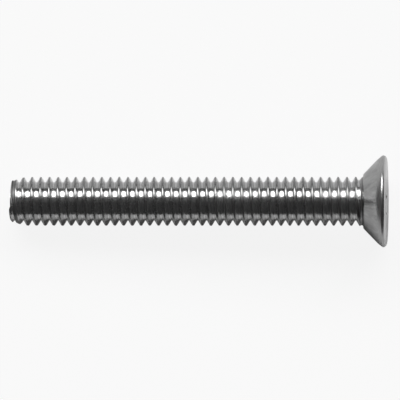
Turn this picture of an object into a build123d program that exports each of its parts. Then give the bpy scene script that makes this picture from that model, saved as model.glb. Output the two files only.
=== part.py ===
from build123d import *
import math
import os

# Countersunk screw with a hexagon socket, M4 x 30, threaded all the way to the head, in millimetres.
# It is one forged and thread-rolled piece of bright stainless steel. It lies at rest on z = 0 along X,
# its head towards +X, and touches the ground with the rim of the head and with the rounded point,
# so its axis climbs towards the head. The shank is drawn over the crests of its thread.

# Length and shank
screw_length = 30.0           # end of the point to the face of the head
crest_diameter = 3.90         # over the crests of the M4 thread
point_end_diameter = 3.26     # flat end of the rolled point
point_length = 1.6            # from the flat end to the first crest of full diameter
neck_diameter = 3.79          # at the head, where the plain neck ends
neck_length = 0.25            # over which the neck narrows from the last crest
neck_fillet = 0.12            # in the corner between the neck and the underside of the head

# Head
head_diameter = 7.30
seat_angle = 92.0             # included angle of the countersunk seat
seat_small_diameter = 4.30    # where the seat starts, at the shoulder of the neck
rim_land = 0.10               # straight band between the seat and the rounding of the rim
rim_rounding = 0.33           # rounding from the band to the face

# Hexagon socket
socket_width = 2.50           # across the flats
socket_depth = 1.80           # of the six walls, below the face
lead_in = 0.05                # how far the lead-in of the mouth reaches past the corners
lead_in_angle = 120.0         # included angle of the lead-in
punch_diameter = 2.35         # of the cone below the walls
punch_angle = 120.0           # included angle of that cone
socket_turn = 15.0            # turn of the hexagon about the axis


def half(size):
    return size / 2


# Heights along the screw's own axis, from the end of the point
face_height = screw_length
land_top = face_height - rim_rounding
land_bottom = land_top - rim_land
seat_height = half(head_diameter - seat_small_diameter) / math.tan(math.radians(half(seat_angle)))
shoulder_height = land_bottom - seat_height
thread_end = shoulder_height - neck_length
shoulder_step = half(seat_small_diameter - neck_diameter)
socket_corner = half(socket_width) / math.cos(math.radians(30))

# The rounded point is an arc that meets the crests without a corner
point_drop = half(crest_diameter - point_end_diameter)
point_rounding = (point_length**2 + point_drop**2) / (2 * point_drop)


def turned_blank():
    """The screw without its socket: half of its section, revolved about its axis."""
    with BuildPart() as blank:
        with BuildSketch(Plane.XZ) as section:
            with BuildLine():
                Line((0, 0), (half(point_end_diameter), 0))
                RadiusArc(
                    (half(point_end_diameter), 0),
                    (half(crest_diameter), point_length),
                    -point_rounding,
                )
                Polyline(
                    (half(crest_diameter), point_length),
                    (half(crest_diameter), thread_end),
                    (half(neck_diameter), shoulder_height),
                    (half(seat_small_diameter), shoulder_height),
                    (half(head_diameter), land_bottom),
                    (half(head_diameter), land_top),
                )
                RadiusArc(
                    (half(head_diameter), land_top),
                    (half(head_diameter) - rim_rounding, face_height),
                    -rim_rounding,
                )
                Polyline((half(head_diameter) - rim_rounding, face_height), (0, face_height), (0, 0))
            make_face()
            if shoulder_step > 0:
                corner_place = Vector(half(neck_diameter), shoulder_height)
                neck_corner = section.vertices().sort_by_distance(corner_place)[0]
                fillet(neck_corner, min(neck_fillet, 0.9 * shoulder_step))
        revolve(axis=Axis.Z)
    return blank.part


def pointed_cone(radius, included_angle):
    """A cone that points down, with its base at z = 0."""
    height = radius / math.tan(math.radians(half(included_angle)))
    return Cone(0, radius, height, align=(Align.CENTER, Align.CENTER, Align.MAX))


def socket_tool():
    """What the punch leaves: six walls, a cone below them and a lead-in around the mouth."""
    mouth = Plane.XY.offset(face_height)
    walls = extrude(mouth * RegularPolygon(socket_corner, 6, rotation=socket_turn), amount=-socket_depth)
    bottom = Pos(0, 0, face_height - socket_depth) * pointed_cone(half(punch_diameter), punch_angle)
    entry = Pos(0, 0, face_height) * pointed_cone(socket_corner + lead_in, lead_in_angle)
    return walls + bottom + entry


def resting_tilt():
    """Angle between the axis and the ground, in degrees, with the rim and the rounded point touching it.

    The rim touches with the lower edge of its band, and the point with its arc, whose centre lies on
    the section at the height point_length. A line that touches both leans by this angle.
    """
    along = land_bottom - point_length
    across = half(head_diameter) - half(crest_diameter) + point_rounding
    reach = math.hypot(along, across)
    return math.degrees(math.acos(point_rounding / reach) - math.atan2(along, across))


def laid_down(body):
    """Tip the standing screw onto its side, head towards +X, and centre it over the origin."""
    lying = Rot(0, 90 - resting_tilt(), 0) * body
    box = lying.bounding_box()
    return Pos(-box.center().X, -box.center().Y, -box.min.Z) * lying


screw = laid_down(turned_blank() - socket_tool())
os.makedirs("parts", exist_ok=True)
export_step(screw, "parts/countersunk_screw.step")

print("tilt of the axis", round(resting_tilt(), 3), "degrees")
print("rounding of the point", round(point_rounding, 3), "mm")
print("seat starts at", round(shoulder_height, 3), "mm from the point")
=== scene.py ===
# %% [markdown]
# # Dressing a countersunk socket screw
#
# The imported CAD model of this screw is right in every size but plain: its
# shank is a smooth bar. This lesson gives it what a maker would see in the
# hand: the rolled thread, the forged head with its punched hexagon, and the
# bright finish that stainless steel has after rolling and tumbling.
#
# Run the cells from top to bottom. Each one prints what it made.

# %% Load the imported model
import math

import bpy
import numpy as np
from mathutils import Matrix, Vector


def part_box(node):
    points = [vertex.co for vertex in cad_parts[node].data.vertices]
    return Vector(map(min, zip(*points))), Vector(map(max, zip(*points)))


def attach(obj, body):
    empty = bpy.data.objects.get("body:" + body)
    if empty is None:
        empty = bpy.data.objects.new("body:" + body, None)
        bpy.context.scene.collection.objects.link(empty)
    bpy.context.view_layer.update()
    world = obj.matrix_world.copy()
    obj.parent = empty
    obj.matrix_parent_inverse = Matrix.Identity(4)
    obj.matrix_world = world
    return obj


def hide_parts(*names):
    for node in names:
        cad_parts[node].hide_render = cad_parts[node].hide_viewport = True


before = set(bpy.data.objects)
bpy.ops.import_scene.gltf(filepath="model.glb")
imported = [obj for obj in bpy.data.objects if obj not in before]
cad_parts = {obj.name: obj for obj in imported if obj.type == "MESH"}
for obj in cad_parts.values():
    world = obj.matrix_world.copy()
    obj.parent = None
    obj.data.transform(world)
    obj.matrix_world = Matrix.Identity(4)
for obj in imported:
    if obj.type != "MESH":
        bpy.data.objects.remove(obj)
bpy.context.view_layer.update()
mm = 0.001
full_turn = 2 * math.pi

# %% [markdown]
# ## The sizes of the screw
#
# A metric screw of this kind is known by a few numbers: its diameter over the
# crests, the pitch of the thread and the length over all, which for a
# countersunk head includes the head. We could pull the sizes off the mesh,
# but a maker works from a drawing, so they are written here once, in
# millimetres, and every surface below is worked out from them. Places along
# the screw are counted from its tip.
#
# The pitch is 0.7 by name. A rolled thread comes out a hair shorter or
# longer, and over forty turns a hair is a visible shift, so the real pitch of
# this screw is written here.

# %% Sizes, in millimetres
overall_length = 30.0
thread_pitch = 0.698
crest_radius = 1.95
thread_depth = 0.4294
flank_angle = math.radians(60)
point_radius = 1.63
point_length = 1.6
neck_start = 27.87
neck_end = 28.00
neck_radius = 1.895
seat_small_radius = 2.18
head_radius = 3.65
seat_angle = math.radians(46)
seat_end = 29.574
rim_rounding = 0.33
flats = 2.50
socket_depth = 1.80
socket_turn = math.radians(15)
print(round(neck_end / thread_pitch, 1), "turns of thread")

# %% [markdown]
# ## Where the screw lies
#
# Laid on a table, a countersunk screw rests on the rim of its head and on its
# point, so its axis is not level. We could build it upright and rotate the
# object, but the frame wants every vertex where it lies. So we build in the
# screw's own directions: *along* the axis from point to head, *across* it,
# and *upward* out of the table, and turn them into table coordinates as each
# vertex is placed.
#
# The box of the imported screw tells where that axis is. The middle of the face
# lies a little inside the end of the box, because the lower edge of the
# tilted head reaches further, and it stands over the table by about the
# radius of the head.

# %% Directions of the axis
rest_tilt = math.radians(3.463)
face_inside_box = 0.2011
face_above_table = 3.6693
low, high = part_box("countersunk_screw")
along = np.array([math.cos(rest_tilt), 0.0, math.sin(rest_tilt)])
across = np.array([0.0, 1.0, 0.0])
upward = np.array([-math.sin(rest_tilt), 0.0, math.cos(rest_tilt)])
face_middle = np.array([high.x / mm - face_inside_box, 0.0, low.z / mm + face_above_table])
tip_middle = face_middle - along * overall_length
print("tip at", tip_middle.round(4), "face at", face_middle.round(4))


def placed(distance, radius, angle):
    """The table coordinates of a point given along, out from and round the axis."""
    outward = across * math.cos(angle) + upward * math.sin(angle)
    return tip_middle + along * distance + outward * radius


# %% [markdown]
# ## The two bounds of the thread
#
# A die rolls the thread: it presses the grooves in, and the metal that they
# displace flows up into the crests. We could shape the first and the last
# turns by hand. Two curves along the axis, which the thread is held between,
# shape both ends at once.
#
# The outer one is how far out the crests come. It has the rounded point,
# where there was less metal to flow, and the slight taper to the neck. The
# inner one stays below the grooves along the shank and climbs to the neck at
# its end, which lifts the last groove out of the metal.

# %% Outer and inner bounds of the thread
point_drop = crest_radius - point_radius
point_arc = (point_length ** 2 + point_drop ** 2) / (2 * point_drop)
runout_start = 27.65
runout_floor = 1.50


def outer_bound(distance):
    """How far out the crests can come: rounded point, parallel part and taper to the neck."""
    short = np.clip(point_length - distance, 0, None)
    nose = crest_radius - point_arc + np.sqrt(point_arc ** 2 - short ** 2)
    share = np.clip((distance - neck_start) / (neck_end - neck_start), 0, 1)
    return np.minimum(nose, crest_radius - (crest_radius - neck_radius) * share)


def inner_bound(distance):
    """The radius that no groove goes under."""
    share = np.clip((distance - runout_start) / (neck_end - runout_start), 0, 1)
    return runout_floor + (neck_radius - runout_floor) * share


for place in (0.0, point_length, neck_end):
    print("at", place, "between", float(inner_bound(place)), "and", round(float(outer_bound(place)), 3))

# %% [markdown]
# ## The profile of one groove
#
# Seen in section a metric thread is a row of 60 degree vees with small flats.
# A die leaves no sharp edge, so the crest corners carry a small rounding and
# the groove's floor a larger one. We could leave the corners sharp and ask
# for a bevel in the shader, but the roundings are what catch the light, so
# they are real geometry: each is a short arc sampled at a few angles.
#
# One half of the groove is enough, from the middle of a crest to the middle
# of the groove, because the other half mirrors it. Each point is a place
# along the screw and a drop below the crest.
#
# One fault is left in this profile. The floor's rounding is a hair larger
# than fits, so its arc ends 0.007 mm past the middle of the groove. There the
# two halves overlap, and the surface lies folded in a strip 0.015 mm wide. It
# is too narrow to see. A rounding of 0.09 would leave room.

# %% Half a profile, from crest to groove
half_pitch = thread_pitch / 2
flank_slope = math.tan(flank_angle)
crest_flat = 0.09
crest_rounding = 0.028
root_rounding = 0.110
groove_edge = crest_flat / 2 + thread_depth / flank_slope
crest_start = crest_flat / 2 - crest_rounding * math.tan(flank_angle / 2)
root_end = groove_edge + root_rounding * math.tan(flank_angle / 2)
arc_steps = [math.radians(d) for d in (0, 20, 40, 60)]

half_profile = [(0.0, 0.0)]
for t in arc_steps:
    drop = crest_rounding * (1 - math.cos(t))
    half_profile.append((crest_start + crest_rounding * math.sin(t), drop))
half_profile.append((crest_flat / 2 + 0.5 * thread_depth / flank_slope, 0.5 * thread_depth))
for t in reversed(arc_steps):
    drop = thread_depth - root_rounding * (1 - math.cos(t))
    half_profile.append((root_end - root_rounding * math.sin(t), drop))
half_profile.append((half_pitch, thread_depth))
profile_place = np.array([place for place, drop in half_profile])
profile_drop = np.array([drop for place, drop in half_profile])
to_groove = set(np.round(profile_place[:-1], 6))
to_crest = set(np.round(-profile_place[1:], 6))
stations = sorted(to_groove | to_crest)
print(len(stations), "stations a pitch")

# %% [markdown]
# ## Depth of the metal anywhere on the thread
#
# One function answers every question about the shank: how far out is the
# metal at this distance and this angle? It finds how far the spot is from
# the nearest crest, looks the profile up, and keeps the answer between the
# two bounds.
#
# The crests start from `first_crest`, where the first of them passes the
# angle zero. Rolling never fills a crest quite evenly. So they carry a slow
# waviness of a hundredth of a millimetre or two, which fades out a tenth of a
# millimetre down the flank. And where the blank is too thin to fill the crest
# at all, as on the rounded point, the middle of the crest stays lower than
# its two sides: that is the seam of a rolled thread.

# %% Radius of the threaded shank
first_crest = 0.30
crest_waviness = 0.010
waves_a_turn = 2.4
wave_lean = 0.9
wave_start = 1.0
wave_fade = 0.1
crest_seam = 0.35


def shank_radius(distance, angle):
    """How far out the metal is, at a distance along and an angle round the axis."""
    helix = distance - first_crest - thread_pitch * angle / full_turn
    offset = np.abs((helix + half_pitch) % thread_pitch - half_pitch)
    drop = np.interp(offset, profile_place, profile_drop)
    turns = helix / thread_pitch + angle / full_turn
    wave = np.sin(waves_a_turn * turns + wave_start) * np.sin(angle + wave_lean * turns) - 1
    rolled = crest_radius - drop + crest_waviness * wave * np.clip(1 - drop / wave_fade, 0, 1)
    outer = outer_bound(distance)
    unfilled = np.clip(rolled - outer, 0, None)
    return np.minimum(outer - crest_seam * unfilled, np.maximum(rolled, inner_bound(distance)))


sample = shank_radius(first_crest + 20 * thread_pitch + np.array([0.0, half_pitch]), 0.0)
print("radius on a crest and in a groove:", sample.round(3))

# %% [markdown]
# ## The end of the screw at the point
#
# The end was cropped, and then rolling pushed its edge about. Where the
# thread starts, a thin lip of metal stands out. Going round from there the
# lip holds for a moment, then the edge falls back slowly, until it meets the
# lip again in one short step. We could sculpt that by hand, but it is only a
# distance that depends on the angle: how far along the screw the metal
# begins.

# %% Where the metal begins, round the point
columns = 96
angles = np.arange(columns) * full_turn / columns
end_lip = 0.09
lip_angle = math.radians(114)
lip_run = math.radians(150)
lip_hold = 0.2
lip_curve = 1.5
lip_step = math.radians(8)
from_lip = (angles - lip_angle) % full_turn
end_cut = end_lip * np.clip(from_lip / lip_run - lip_hold, 0, 1) ** lip_curve
end_cut = end_cut * np.clip((full_turn - from_lip) / lip_step, 0, 1)
print("the end falls back by up to", float(end_cut.max()), "mm")

# %% [markdown]
# ## The sheared grid
#
# A helix fits badly on a plain grid of rings: the crest would cross the rings
# and come out stepped. Instead every row of this grid *is* a helix. Column by
# column the whole set of stations moves along by a slice of the pitch, so a
# row that starts on a crest stays on that crest, and after a full turn row
# `k` meets row `k + stations per pitch`. A few turns too many are laid out,
# and at the two ends the rows are cut off, at the neck and at the edge of the
# point, which squeezes some quads to triangles.

# %% Rows of the shank
spare_turns = 2
per_pitch = len(stations)
turn_count = int((neck_end - first_crest) / thread_pitch) + 2 * spare_turns
row_start = np.array([
    first_crest + thread_pitch * (turn - spare_turns) + station
    for turn in range(turn_count)
    for station in stations
])
row_count = len(row_start)
reach = row_start[:, None] + thread_pitch * angles[None, :] / full_turn
cut_reach = np.clip(reach, end_cut[None, :], neck_end)
print(row_count, "rows and", columns, "columns")

# %% [markdown]
# ## Vertices of the shank
#
# In each column only the rows between the two ends get a vertex of their own.
# A row that was cut off shares the last one, so that the array `vertex` names
# a vertex for every row and column, and the faces need no special cases.

# %% Vertices of the shank
hair = 1e-6
points = []
vertex = np.zeros(reach.shape, int)
for j in range(columns):
    first = int(np.searchsorted(reach[:, j], end_cut[j] + hair)) - 1
    last = int(np.searchsorted(reach[:, j], neck_end - hair))
    radii = shank_radius(cut_reach[:, j], angles[j])
    for i in range(first, last + 1):
        vertex[i, j] = len(points)
        points.append(placed(cut_reach[i, j], radii[i], angles[j]))
    vertex[:first, j] = vertex[first, j]
    vertex[last + 1:, j] = vertex[last, j]
print(len(points), "vertices on the shank")

# %% [markdown]
# ## Faces of the shank
#
# Each face joins four neighbours of that array. Where rows were cut off, some
# of the four fall together, and the face becomes a triangle or vanishes. We
# could keep every quad, but those without an area would spoil the shading.
# The column after the last is the first one again, one turn further on.

# %% Faces of the shank
faces = []


def add_face(loop):
    """Adds a face, leaving out the corners that fell together."""
    corners = [v for n, v in enumerate(loop) if v != loop[n - 1]]
    if len(set(corners)) == len(corners) >= 3:
        faces.append(corners)


one_turn_on = np.minimum(np.arange(row_count) + per_pitch, row_count - 1)
grid = np.column_stack([vertex, vertex[one_turn_on, 0]]).tolist()
for j in range(columns):
    for i in range(row_count - 1):
        add_face([grid[i][j], grid[i][j + 1], grid[i + 1][j + 1], grid[i + 1][j]])
point_edge = vertex[0].tolist()
neck_edge = vertex[-1].tolist()
print(len(faces), "faces on the shank")

# %% [markdown]
# ## Rings for everything that is turned or forged
#
# The head is round, so rings of vertices joined by strips of quads describe
# it well. The same number of columns as on the shank lets the first ring grow
# straight out of the thread with no seam.

# %% Ring helpers


def add_ring(distance, radius):
    """A ring of vertices. Either number may differ from column to column."""
    distance = np.broadcast_to(distance, columns)
    radius = np.broadcast_to(radius, columns)
    points.extend(placed(d, r, a) for d, r, a in zip(distance, radius, angles))
    return list(range(len(points) - columns, len(points)))


def join_rings(lower, upper):
    """A strip of quads from one ring to the next one towards the head."""
    for j in range(columns):
        k = (j + 1) % columns
        add_face([lower[j], lower[k], upper[k], upper[j]])


def grow(ring, distance, radius):
    """Adds the next ring towards the head, joins it on and returns it."""
    following = add_ring(distance, radius)
    join_rings(ring, following)
    return following


def close_ring(ring, middle, towards_head):
    """A fan of triangles from the last ring to the point in its middle."""
    points.append(middle)
    for j in range(columns):
        k = (j + 1) % columns
        pair = [ring[j], ring[k]] if towards_head else [ring[k], ring[j]]
        add_face(pair + [len(points) - 1])


print("rings of", columns, "vertices")

# %% [markdown]
# ## The seat under the head
#
# From the neck a small fillet leads to the seat, a cone of 92 degrees over
# all that sinks into the countersink. Near the rim the upset metal did not
# quite fill the die, so there the seat bends a little inward in a wide curve,
# and a small round takes the last of its slope away. How much radius these
# two need tells where the straight part ends.
#
# The head could be spun from a curve with a Screw modifier. Here its curves
# are drawn as an outline, point by point, and turned into rings afterwards,
# because then they can grow out of the thread.

# %% Fillet and straight part of the seat
seat_slope = math.tan(seat_angle)
fillet_reach = 0.15
fillet_rise = 0.26
seat_bend = math.radians(12)
bend_radius = 3.2
seat_round = 0.10
last_slope = seat_angle - seat_bend
bend_rise = bend_radius * (math.cos(last_slope) - math.cos(seat_angle))
round_rise = seat_round * (1 - math.cos(last_slope))
bend_start = head_radius - bend_rise - round_rise


def on_seat(radius):
    """Where the straight side of the seat has this radius."""
    return seat_end - (head_radius - radius) / seat_slope


outline = []
for t in np.radians([20, 40, 60, 75, 90]):
    fillet_radius = neck_radius + fillet_rise * (1 - math.cos(t))
    outline.append((neck_end + fillet_reach * math.sin(t), fillet_radius))
for radius in np.linspace(seat_small_radius, bend_start, 8):
    outline.append((on_seat(radius), radius))
print("the seat is straight from radius", seat_small_radius, "to", round(bend_start, 3))

# %% [markdown]
# ## The rim and the face
#
# Every arc of the outline is given by the slope of the surface: the seat's
# own angle at first, zero where it runs level with the axis, and negative
# where it turns in to the face. Each arc leaves out its first point, because
# the curve before it ends there. The small round even ends a hair past the
# place where the rim's rounding begins, and stands in for its start.
#
# The face was pressed by the punch's shoulder and is hollow by a few
# hundredths of a millimetre, which shows only as a soft change in what it
# mirrors.

# %% Bend, rim and face
rim_end = overall_length - rim_rounding
face_dish = 0.035
dish_steps = [(0.004, 3.22), (0.4 * face_dish, 2.75), (0.8 * face_dish, 2.1)]


def arc(start, arc_radius, slopes):
    """Points of an arc after its start, one for each further slope of the surface."""
    distance, radius = start
    steps = []
    for slope_here in slopes[1:]:
        further = arc_radius * (math.sin(slopes[0]) - math.sin(slope_here))
        outward = arc_radius * (math.cos(slope_here) - math.cos(slopes[0]))
        steps.append((distance + further, radius + outward))
    return steps


outline += arc(outline[-1], bend_radius, np.linspace(seat_angle, last_slope, 5))
outline += arc(outline[-1], seat_round, np.linspace(last_slope, 0, 6))
print("seat ends at", round(outline[-1][0], 3), "and the rim's rounding starts at", round(rim_end, 3))
outline += arc((rim_end, head_radius), rim_rounding, np.radians([0, -15, -30, -45, -60, -75, -90]))
outline += [(overall_length - depth, radius) for depth, radius in dish_steps]
ring = neck_edge
for distance, radius in outline:
    ring = grow(ring, distance, radius)
print(len(outline), "rings on the head")

# %% [markdown]
# ## The hexagon socket
#
# The socket is driven into the cold head by a six-sided punch. A short round
# cone leads into its mouth, just wide enough to reach past the corners. Its
# walls run straight down, and under them is the cone that the punch's nose
# leaves. A boolean cut would do, but it leaves slivers, so the rings simply
# change from round to six-sided: a hexagon is a ring whose radius depends on
# the angle. Because the lead-in is a cone, the ring in which it meets the
# walls lies deep at the flats and high at the corners.
#
# The first ring lies just outside the mouth. It keeps the shading of the
# cone from spreading over the flat face.

# %% Socket
lead_in = 0.05
lead_in_slope = math.tan(math.radians(60))
land_rise = 0.001
land_width = 0.03
floor_edge = 0.02
nose_radius = 1.175
nose_edge_depth = 0.03
nose_edge_width = 0.05
nose_end_depth = 0.4
nose_end_radius = 0.48
nose_tip_depth = 0.277
from_flat = (angles - socket_turn + math.pi / 6) % (math.pi / 3) - math.pi / 6
hexagon = 1 / np.cos(from_flat)
wall = flats / 2 * hexagon
mouth = overall_length - face_dish
mouth_radius = flats / 2 / math.cos(math.pi / 6) + lead_in
floor = mouth - socket_depth
socket_rings = [
    (mouth + land_rise, mouth_radius + land_width),
    (mouth, mouth_radius),
    (mouth - (mouth_radius - wall) / lead_in_slope, wall),
    (mouth - socket_depth * 0.5, wall),
    (floor + floor_edge, wall),
    (floor, (flats / 2 - floor_edge) * hexagon),
    (floor, nose_radius),
    (floor - nose_edge_depth, nose_radius - nose_edge_width),
    (floor - nose_end_depth, nose_end_radius),
]
for distance, radius in socket_rings:
    ring = grow(ring, distance, radius)
close_ring(ring, placed(floor - nose_end_depth - nose_tip_depth, 0.0, 0.0), True)
print("lead-in", round(float((mouth - socket_rings[2][0]).max()), 3), "mm deep at the flats")

# %% [markdown]
# ## The end face of the point
#
# Cropping and rolling leave the middle of the end a little hollow, with the
# uneven edge from above around it. So the rings start on that edge and follow
# it less and less towards the middle. The faces have to look away from the
# head, so each new ring takes the lower place in its strip.

# %% Point
hollow_radius = 0.7
hollow_depth = 0.05
middle_depth = 0.10
end_rings = [(0.0, 1.42), (0.02, 1.25), (0.03, hollow_radius)]
ring = point_edge
for depth, radius in end_rings:
    share = (radius - hollow_radius) / (point_radius - hollow_radius)
    following = add_ring(depth + end_cut * share + hollow_depth * (1 - share), radius)
    join_rings(following, ring)
    ring = following
close_ring(ring, placed(middle_depth, 0.0, 0.0), False)
print(len(points), "vertices and", len(faces), "faces in all")

# %% [markdown]
# ## The finished piece
#
# All vertices and faces become one mesh, because the real screw is one piece
# of steel. Its faces are shaded smooth, and only edges sharper than forty
# degrees stay crisp, such as the edges of the hexagon. The object stays at
# the origin and rides on the part's only body, where it stands in for the
# plain packed screw.

# %% Make the mesh
screw_mesh = bpy.data.meshes.new("countersunk_socket_screw")
screw_mesh.from_pydata([tuple(p * mm) for p in points], [], faces)
screw_mesh.validate()
screw_mesh.shade_smooth()
screw_mesh.set_sharp_from_angle(angle=math.radians(40))
screw = bpy.data.objects.new("countersunk_socket_screw", screw_mesh)
bpy.context.scene.collection.objects.link(screw)
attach(screw, "root")
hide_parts("countersunk_screw")
triangles = sum(len(p.vertices) - 2 for p in screw_mesh.polygons)
print(len(screw_mesh.polygons), "faces,", triangles, "triangles")

# %% [markdown]
# ## A short way to write shader maths
#
# Materials below are sums and products of masks. Wired by hand they would
# take hundreds of lines, so a small class stands for one output socket and
# lets Python's own operators add the Math nodes. A wire without a socket is
# where a tree starts: nodes that need no input are added from it.

# %% Sockets that do arithmetic


class Wire:
    """One output socket of a node tree."""

    def __init__(self, tree, socket=None):
        self.tree = tree
        self.socket = socket

    def node(self, kind, settings, values, output=0):
        """Adds a node: its type, then its settings, then its socket values or links."""
        made = self.tree.nodes.new(kind)
        for name, value in settings.items():
            setattr(made, name, value)
        for name, value in values.items():
            if isinstance(value, Wire):
                self.tree.links.new(value.socket, made.inputs[name])
            else:
                made.inputs[name].default_value = value
        return Wire(self.tree, made.outputs[output])

    def maths(self, operation, *values):
        """Adds one Math node."""
        return self.node("ShaderNodeMath", {"operation": operation}, dict(enumerate(values)))

    def __add__(self, other):
        return self.maths("ADD", self, other)

    def __radd__(self, other):
        return self.maths("ADD", other, self)

    def __sub__(self, other):
        return self.maths("SUBTRACT", self, other)

    def __rsub__(self, other):
        return self.maths("SUBTRACT", other, self)

    def __mul__(self, other):
        return self.maths("MULTIPLY", self, other)

    def __rmul__(self, other):
        return self.maths("MULTIPLY", other, self)

    def __truediv__(self, other):
        return self.maths("DIVIDE", self, other)

    def __rtruediv__(self, other):
        return self.maths("DIVIDE", other, self)

    def between(self, start, end):
        """0 up to start, 1 from end on, and a smooth step between."""
        return self.node(
            "ShaderNodeMapRange",
            {"interpolation_type": "SMOOTHSTEP"},
            {"Value": self, "From Min": start, "From Max": end, "To Min": 0.0, "To Max": 1.0},
        )


print("a wire knows +, -, *, / and between")

# %% [markdown]
# ## Bright stainless steel
#
# A screw like this has no coating: what you see is the metal. It is darker
# and brighter from place to place mostly because each surface was made in
# another way. The grooves were burnished by the rolling die and mirror the
# room. The crests, where the metal flowed together, are duller. The seat
# carries fine lines that run out from the neck, left by the forging die. The
# rim, which takes the knocks, is rougher, and the point is raw from cropping.
# The punched socket is painted dark: painted shade in its recess.
#
# So the material first has to know where it is on the screw. An image would
# have to be wrapped round the thread. It is simpler to measure: how far along
# the axis a spot is, how far out from it, and in which direction round it.

# %% Where on the screw
steel = bpy.data.materials.new("bright_stainless_steel")
steel.use_nodes = True
steel_tree = Wire(steel.node_tree)
spot = steel_tree.node("ShaderNodeTexCoord", {}, {}, "Object")
from_tip = steel_tree.node(
    "ShaderNodeVectorMath", {"operation": "SUBTRACT"}, {0: spot, 1: tuple(tip_middle * mm)}
)


def measured_along(direction):
    """How far the spot is from the tip in one direction, in millimetres."""
    return steel_tree.node(
        "ShaderNodeVectorMath", {"operation": "DOT_PRODUCT"}, {0: from_tip, 1: tuple(direction / mm)}, "Value"
    )


axial = measured_along(along)
sideways = measured_along(across)
height = measured_along(upward)
from_axis = steel_tree.maths("SQRT", sideways * sideways + height * height)
round_x = sideways / from_axis
round_y = height / from_axis
print(len(steel.node_tree.nodes), "nodes so far")

# %% [markdown]
# ## Zones of the finish
#
# Each zone is a mask, 1 inside and 0 outside, with a soft border. Most
# borders are places along the axis. The socket is what lies inside the
# mouth's radius and under the cone of the lead-in, so that the lead-in itself
# stays as bright as the face. A crest is what lies close under the outer
# bound of the thread. On the rounded point that bound falls off with the
# square of the distance, near enough. The metal never filled the first crest
# there, so it is still raw.

# %% Masks for the zones
seat_border = (28.12, 28.18)
rim_border = (29.30, 29.55)
face_border = (29.80, 29.94)
socket_border = (1.45, 1.49)
lead_in_border = (0.01, 0.05)
crest_border = (-0.11, -0.05)
point_border = (0.15, 0.75)
raw_border = (0.75, 1.00)
head = axial.between(*seat_border)
rim = axial.between(*rim_border)
below_lead_in = from_axis - mouth_radius + (mouth - axial) * lead_in_slope
# The socket zone also carries painted shade in the tone below; the lead-in is left out of it.
in_socket = head * (1 - from_axis.between(*socket_border)) * below_lead_in.between(*lead_in_border)
face = axial.between(*face_border) * (1 - in_socket)
seat = head * (1 - rim) * (1 - in_socket)
short_of_shank = steel_tree.maths("MAXIMUM", point_length - axial, 0.0)
bound_radius = crest_radius - short_of_shank * short_of_shank / (2 * point_arc)
crest = (from_axis - bound_radius).between(*crest_border) * (1 - head)
near_point = 1 - axial.between(*point_border)
raw_crest = crest * (1 - axial.between(*raw_border))
print(len(steel.node_tree.nodes), "nodes so far")

# %% [markdown]
# ## Marks of making
#
# No surface is perfectly even. Rolling leaves fine lines round the shank, and
# the forging die leaves lines down the seat and faint rings on the face. Over
# all of them lie soft patches, small specks and a general unevenness. Screws
# also rub against each other in the box, so two stretches of this shank carry
# fine knocks.
#
# Every mark is the same soft noise, only stretched: it runs fast in one
# direction and slowly in the others. Stretching along the way round gives
# lines round the shank, and stretching along the axis gives lines down it.

# %% Noise for the marks


def noise(x, y, z, scale, detail, roughness):
    """Soft random patches, stretched by how fast x, y and z run."""
    place = steel_tree.node("ShaderNodeCombineXYZ", {}, {"X": x, "Y": y, "Z": z})
    return steel_tree.node(
        "ShaderNodeTexNoise",
        {"noise_dimensions": "3D"},
        {"Vector": place, "Scale": scale, "Detail": detail, "Roughness": roughness},
    )


speck_levels = (0.60, 0.72)
middle_rub_start = (15.0, 17.5)
middle_rub_end = (18.5, 20.5)
neck_rub_start = (22.5, 25.5)
rolled_lines = noise(axial * 9.0, round_x * 1.6, round_y * 1.6, scale=2.2, detail=3.0, roughness=0.6)
die_lines = noise(round_x * 9.0, round_y * 9.0, axial * 0.9, scale=2.0, detail=4.0, roughness=0.65)
face_rings = noise(from_axis * 14.0, round_x * 0.8, round_y * 0.8, scale=2.0, detail=3.0, roughness=0.6)
patches = noise(sideways, height, axial, scale=1.1, detail=3.0, roughness=0.55)
specks = noise(sideways, height, axial, scale=5.0, detail=2.0, roughness=0.5).between(*speck_levels)
uneven = noise(sideways * 1.4, height * 1.4, axial * 0.5, scale=3.0, detail=4.0, roughness=0.65)
middle_rub = axial.between(*middle_rub_start) * (1 - axial.between(*middle_rub_end))
rubbed = middle_rub + axial.between(*neck_rub_start) * (1 - head)
knocks = noise(sideways, height, axial, scale=9.0, detail=2.0, roughness=0.6)
print(len(steel.node_tree.nodes), "nodes so far")

# %% [markdown]
# ## From zones and marks to the finish
#
# Roughness says how sharply the steel mirrors the room, and tone how much of
# the room it gives back. Each starts with a plain value for the burnished
# shank, and every further line is one zone or mark that adds to it or takes
# from it. The tone never falls below a dark grey, since no clean steel is
# black.
#
# A stack of Mix nodes would do the same, but a sum says at a glance how far
# each zone departs from plain steel.

# %% Roughness and tone
darkest_tone = 0.08
roughness = (
    0.15
    + 0.12 * crest
    + 0.05 * seat
    + 0.15 * rim * (1 - face)
    + 0.02 * face
    - 0.03 * in_socket
    + 0.10 * near_point * (1 - head)
    + 0.18 * raw_crest
    + 0.10 * (patches - 0.5)
    + 0.02 * rubbed
    + 0.08 * specks * (1 - 0.8 * head)
)
tone = (
    0.66
    - 0.34 * crest
    - 0.20 * seat
    - 0.18 * rim * (1 - face)
    # painted shade: the socket's recess is made much darker in the tone
    - 0.48 * in_socket
    + 0.12 * face
    - 0.05 * near_point * (1 - head)
    - 0.14 * raw_crest
    + 0.16 * (patches - 0.5)
    + 0.45 * seat * (die_lines - 0.5)
    + 0.20 * seat * (patches - 0.5)
    - 0.10 * specks * (1 - 0.8 * head)
)
tone = steel_tree.maths("MAXIMUM", tone, darkest_tone)
shade = steel_tree.node("ShaderNodeCombineColor", {"mode": "RGB"}, {"Red": tone, "Green": tone, "Blue": tone})
print(len(steel.node_tree.nodes), "nodes so far")

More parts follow.
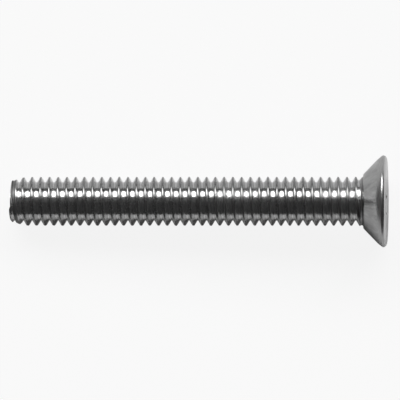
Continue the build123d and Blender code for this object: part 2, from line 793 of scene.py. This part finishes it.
# %% [markdown]
# ## A bump for what is too fine to build
#
# The marks also tilt the surface, so that highlights break up a little where
# they cross them. The bump stays very low, six thousandths of a millimetre:
# everything that can be felt with a fingernail is in the mesh.

# %% Bump, and the finished steel
bump_strength = 0.5
bump_height = 0.006 * mm
marks = (
    rolled_lines * (1 - head) * 0.8
    + die_lines * seat * 1.4
    + face_rings * face * 0.5
    + uneven * 2.0
    + knocks * rubbed * 4.5
)
surface = steel_tree.node(
    "ShaderNodeBump", {}, {"Strength": bump_strength, "Distance": bump_height, "Height": marks}
)
metal = steel.node_tree.nodes["Principled BSDF"]
steel.node_tree.links.new(shade.socket, metal.inputs["Base Color"])
steel.node_tree.links.new(roughness.socket, metal.inputs["Roughness"])
steel.node_tree.links.new(surface.socket, metal.inputs["Normal"])
metal.inputs["Metallic"].default_value = 1.0
screw_mesh.materials.append(steel)
print(len(steel.node_tree.nodes), "nodes in the steel")

# %% [markdown]
# ## A white table
#
# Polished metal shows its surroundings more than itself, so the table matters
# as much as the steel. It is one flat sheet under the screw, wide enough to
# fill the view from every side.

# %% Table
table_reach = 0.5
table_corners = [(x * table_reach, y * table_reach, 0) for x, y in ((-1, -1), (1, -1), (1, 1), (-1, 1))]
table_mesh = bpy.data.meshes.new("table")
table_mesh.from_pydata(table_corners, [], [(0, 1, 2, 3)])
table = bpy.data.objects.new("table", table_mesh)
bpy.context.scene.collection.objects.link(table)
print("a table of", 2 * table_reach, "m")

# %% [markdown]
# ## The paint of the table
#
# The sheet is plain pale paint that takes the lamp and keeps the screw's soft
# shadow. A brighter lamp would turn it white too, but would wash out the
# steel. So a large share of it glows for the camera, which whitens the
# background and leaves the light on the screw alone. For mirror rays, and
# rays through glass, it glows only a little: the steel then reflects the lit
# sheet with the shadow on it, and its undersides stay as dark as they are on
# a real table.

# %% Paint of the table
seen_glow = 0.88
mirrored_glow = 0.03
paint_tone = 0.80
white = bpy.data.materials.new("table_white")
white.use_nodes = True
white.node_tree.nodes.remove(white.node_tree.nodes["Principled BSDF"])
table_tree = Wire(white.node_tree)
camera_ray = table_tree.node("ShaderNodeLightPath", {}, {}, "Is Camera Ray")
mirror_ray = table_tree.node("ShaderNodeLightPath", {}, {}, "Is Glossy Ray")
through_ray = table_tree.node("ShaderNodeLightPath", {}, {}, "Is Transmission Ray")
glow_share = camera_ray * seen_glow + (mirror_ray + through_ray) * mirrored_glow
paint = table_tree.node("ShaderNodeBsdfDiffuse", {}, {"Color": (paint_tone, paint_tone, paint_tone, 1)})
glow = table_tree.node("ShaderNodeEmission", {}, {"Color": (1, 1, 1, 1), "Strength": 1.0})
both = table_tree.node("ShaderNodeMixShader", {}, {0: glow_share, 1: paint, 2: glow})
ending = white.node_tree.nodes["Material Output"]
white.node_tree.links.new(both.socket, ending.inputs["Surface"])
table_mesh.materials.append(white)
print(len(white.node_tree.nodes), "nodes in the table")

# %% [markdown]
# ## Light
#
# One large softbox stands behind the screw and high over it. Its reflection
# is the row of white blocks in the grooves, the thin white lines on the
# crests and the crescent on the rim. A smaller lamp would shrink them to
# points, and a second one would double them.

# %% Softbox
lamp_from_overhead = 47.4
lamp_sideways = -0.06
lamp_distance = 1.5
lamp_width = 2.2
lamp_depth = 0.82
lamp_radiance = 4.9


def behind(from_overhead, sideways=0.0):
    """A direction behind the screw, by its angle from straight overhead."""
    return (sideways, math.sin(math.radians(from_overhead)), math.cos(math.radians(from_overhead)))


lamp = bpy.data.lights.new("main_softbox", "AREA")
lamp.shape = "RECTANGLE"
lamp.size = lamp_width
lamp.size_y = lamp_depth
lamp.energy = lamp_radiance * math.pi * lamp_width * lamp_depth
softbox = bpy.data.objects.new("main_softbox", lamp)
bpy.context.scene.collection.objects.link(softbox)
towards_lamp = Vector(behind(lamp_from_overhead, lamp_sideways)).normalized()
softbox.location = towards_lamp * lamp_distance
softbox.rotation_mode = "QUATERNION"
softbox.rotation_quaternion = towards_lamp.to_track_quat("Z", "Y")
print("a softbox of", round(lamp.energy, 1), "W at", [round(c, 2) for c in softbox.location])

# %% [markdown]
# ## The room
#
# The rest of the room is dim, which gives the dark band along the middle of
# the screw. It is a little lighter around the softbox, as a wall behind a
# lamp is, and on the side of the point. We could build walls for that, but a
# world whose level depends on the direction does the same with a few nodes.

# %% Room
room_level = 0.045
lamp_wall = 0.10
lamp_wall_from_overhead = 45
lamp_wall_border = (0.55, 0.95)
point_side = 0.025
point_side_border = (-0.9, 0.0)
room = bpy.data.worlds.new("studio")
bpy.context.scene.world = room
room.use_nodes = True
room_tree = Wire(room.node_tree)
sky = room_tree.node("ShaderNodeTexCoord", {}, {}, "Generated")
towards_head = room_tree.node("ShaderNodeSeparateXYZ", {}, {"Vector": sky}, "X")
lamp_wall_middle = behind(lamp_wall_from_overhead)
near_lamp = room_tree.node(
    "ShaderNodeVectorMath", {"operation": "DOT_PRODUCT"}, {0: sky, 1: lamp_wall_middle}, "Value"
)
level = (
    room_level
    + lamp_wall * near_lamp.between(*lamp_wall_border)
    + point_side * (1 - towards_head.between(*point_side_border))
)
dim = room_tree.node("ShaderNodeCombineColor", {"mode": "RGB"}, {"Red": level, "Green": level, "Blue": level})
backdrop = room.node_tree.nodes["Background"]
room.node_tree.links.new(dim.socket, backdrop.inputs["Color"])
print(len(room.node_tree.nodes), "nodes in the room")

# %% [markdown]
# ## Camera
#
# The screw is seen from straight above through a long lens. A short lens
# close by would look at the teeth near both ends from the side. The camera
# leans a little over one degree towards the head, so that its flat face just
# shows, and looks at a spot close to the middle of the screw. The focal
# length is known in pixels of a square frame 400 pixels wide, and turned into
# the millimetres that Blender wants.

# %% Camera
frame_pixels = 400
focal_pixels = 4534.4
camera_lean = math.radians(1.20)
camera_distance = 360.8
aim = np.array([0.072, 0.103, 2.7])
lens = bpy.data.cameras.new("camera")
lens.sensor_width = 36
lens.lens = focal_pixels * lens.sensor_width / frame_pixels
lens.clip_start = 0.01
lens.clip_end = 10
camera = bpy.data.objects.new("camera", lens)
bpy.context.scene.collection.objects.link(camera)
backward = np.array([math.sin(camera_lean), 0.0, math.cos(camera_lean)])
camera.location = Vector((aim + camera_distance * backward) * mm)
camera.rotation_euler = (0, camera_lean, 0)
bpy.context.scene.camera = camera
bpy.context.scene.view_settings.view_transform = "Standard"
print("a lens of", round(lens.lens, 1), "mm")
